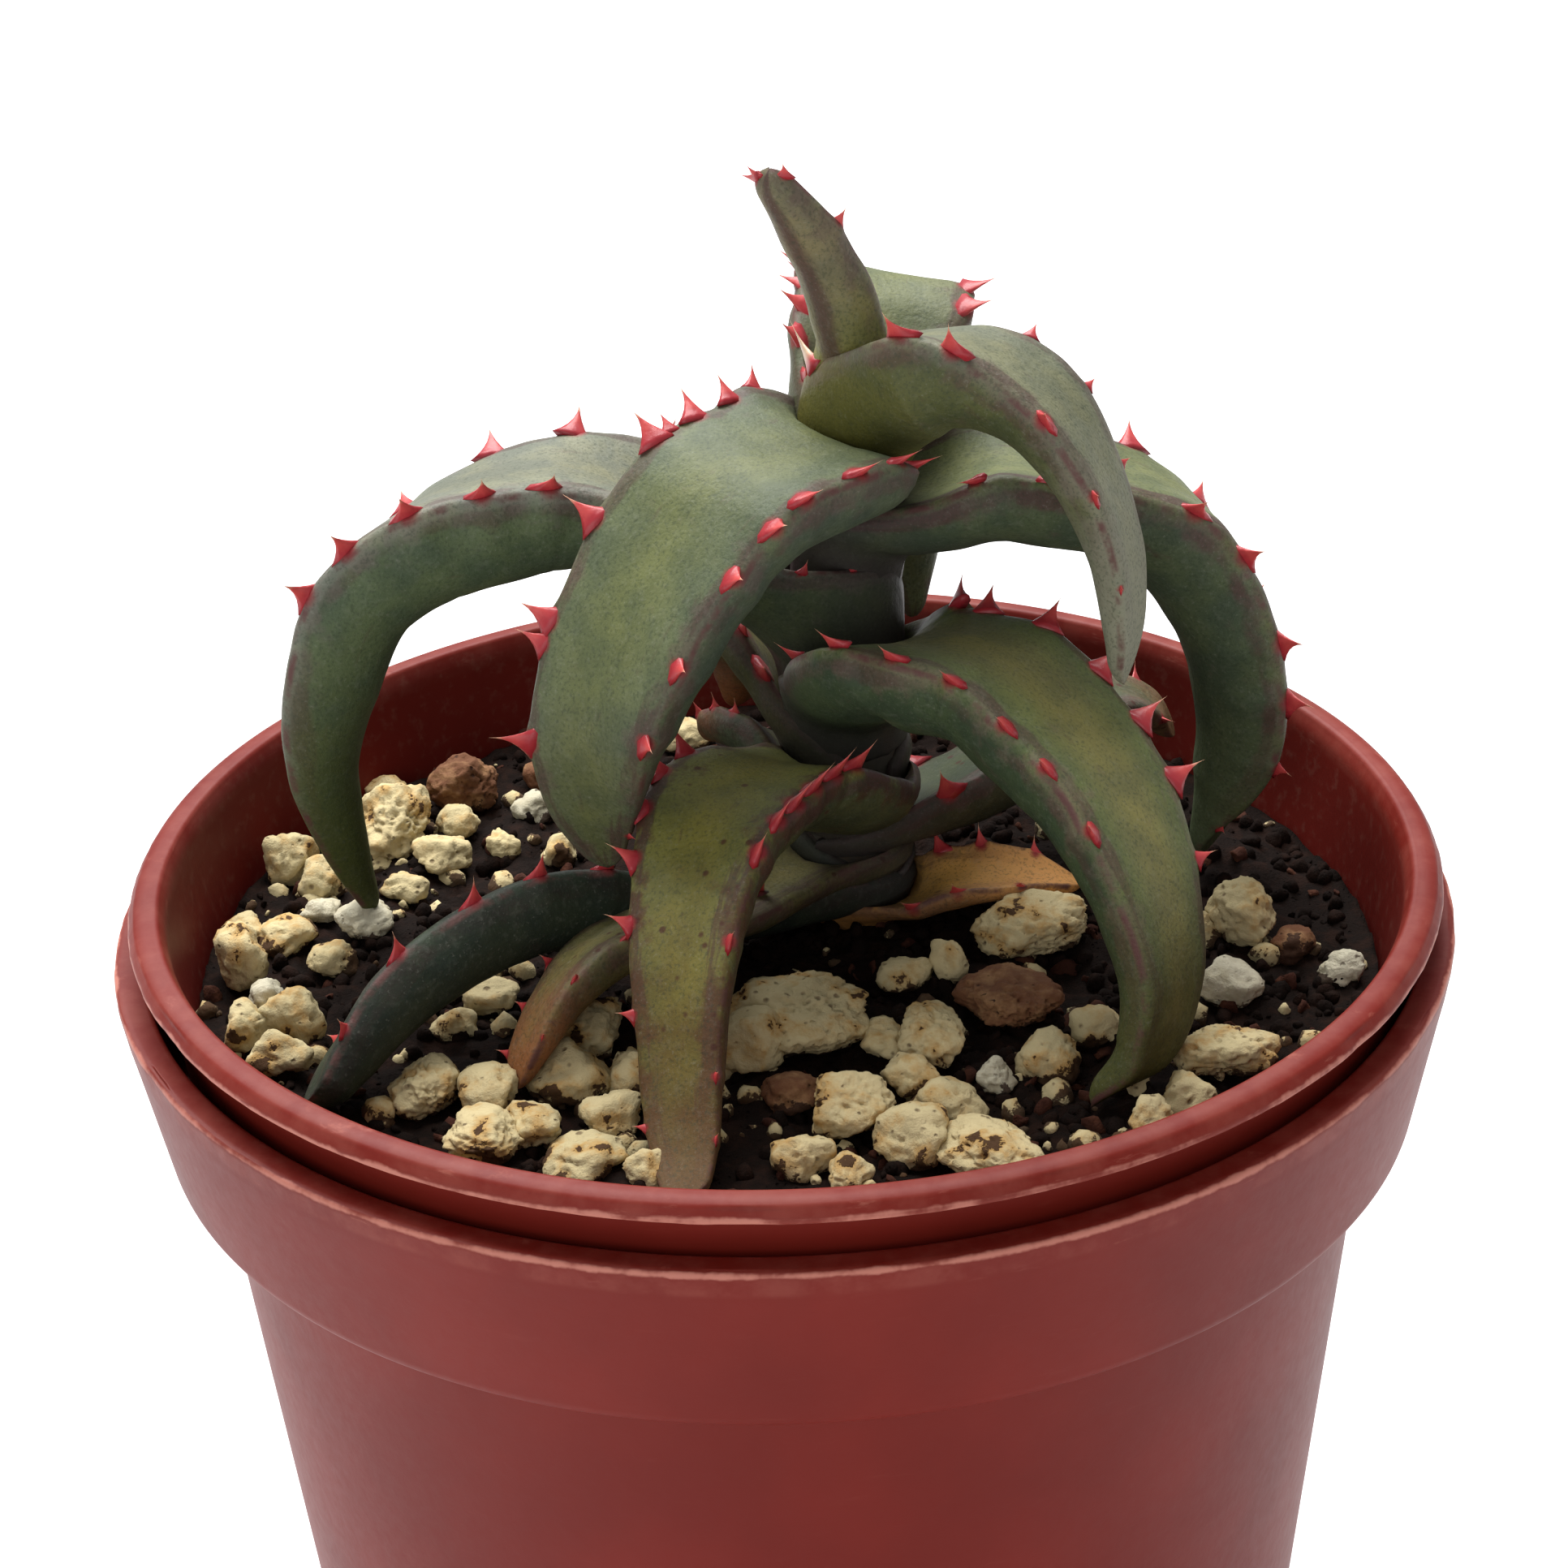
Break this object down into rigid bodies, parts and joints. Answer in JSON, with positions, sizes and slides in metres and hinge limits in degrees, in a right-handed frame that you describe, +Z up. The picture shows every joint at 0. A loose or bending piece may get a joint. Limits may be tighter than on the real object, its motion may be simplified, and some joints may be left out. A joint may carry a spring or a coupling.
{
  "type": "potted aloe",
  "caption": "Small recurved aloe hybrid with toothed fleshy leaves in dark soil and pale pumice, standing in two nested plastic nursery pots; a desk or shelf plant.",
  "frame": {"origin": "middle of the outer pot's foot, on the plane it stands on", "axes": "+Z up along the pots' axis, -Y towards the viewer of the picture, +X to the viewer's right"},
  "size_m": [0.107, 0.107, 0.1524],
  "materials": {
    "plastic": "satin moulded terracotta-coloured plastic, rim lighter where it is rubbed",
    "soil": "dark damp bark and loam, matt",
    "stem": "dark purple-green sheathed stem, matt",
    "leaf": "grey-green fleshy leaf with waxy bloom, purple-tinged margins and coral-red teeth, satin",
    "leaf_old": "olive to rust-brown ageing leaf, satin",
    "pumice": "cream-yellow porous pumice, rough",
    "white_grit": "off-white porous grit, rough",
    "clinker": "brown porous clinker, rough"
  },
  "bodies": {
    "root": {"clinker_1": "clinker", "clinker_2": "clinker", "clinker_3": "clinker", "clinker_4": "clinker", "inner_pot": "plastic", "leaf_back_left": "leaf_old", "leaf_back_small": "leaf", "leaf_front_left_small": "leaf_old", "leaf_front_low": "leaf", "leaf_left": "leaf", "leaf_left_front": "leaf", "leaf_left_low": "leaf", "leaf_right_back": "leaf", "leaf_right_front": "leaf", "leaf_right_low": "leaf", "leaf_right_small": "leaf_old", "leaf_top_back": "leaf", "leaf_top_upright": "leaf", "leaf_upper_right": "leaf", "outer_pot": "plastic", "pumice_1": "pumice", "pumice_10": "pumice", "pumice_11": "pumice", "pumice_12": "pumice", "pumice_13": "pumice", "pumice_14": "pumice", "pumice_2": "pumice", "pumice_3": "pumice", "pumice_4": "pumice", "pumice_5": "pumice", "pumice_6": "pumice", "pumice_7": "pumice", "pumice_8": "pumice", "pumice_9": "pumice", "soil": "soil", "stem": "stem", "white_grit_1": "white_grit", "white_grit_2": "white_grit", "white_grit_3": "white_grit", "white_grit_4": "white_grit", "white_grit_5": "white_grit", "white_grit_6": "white_grit"}
  },
  "joints": []
}
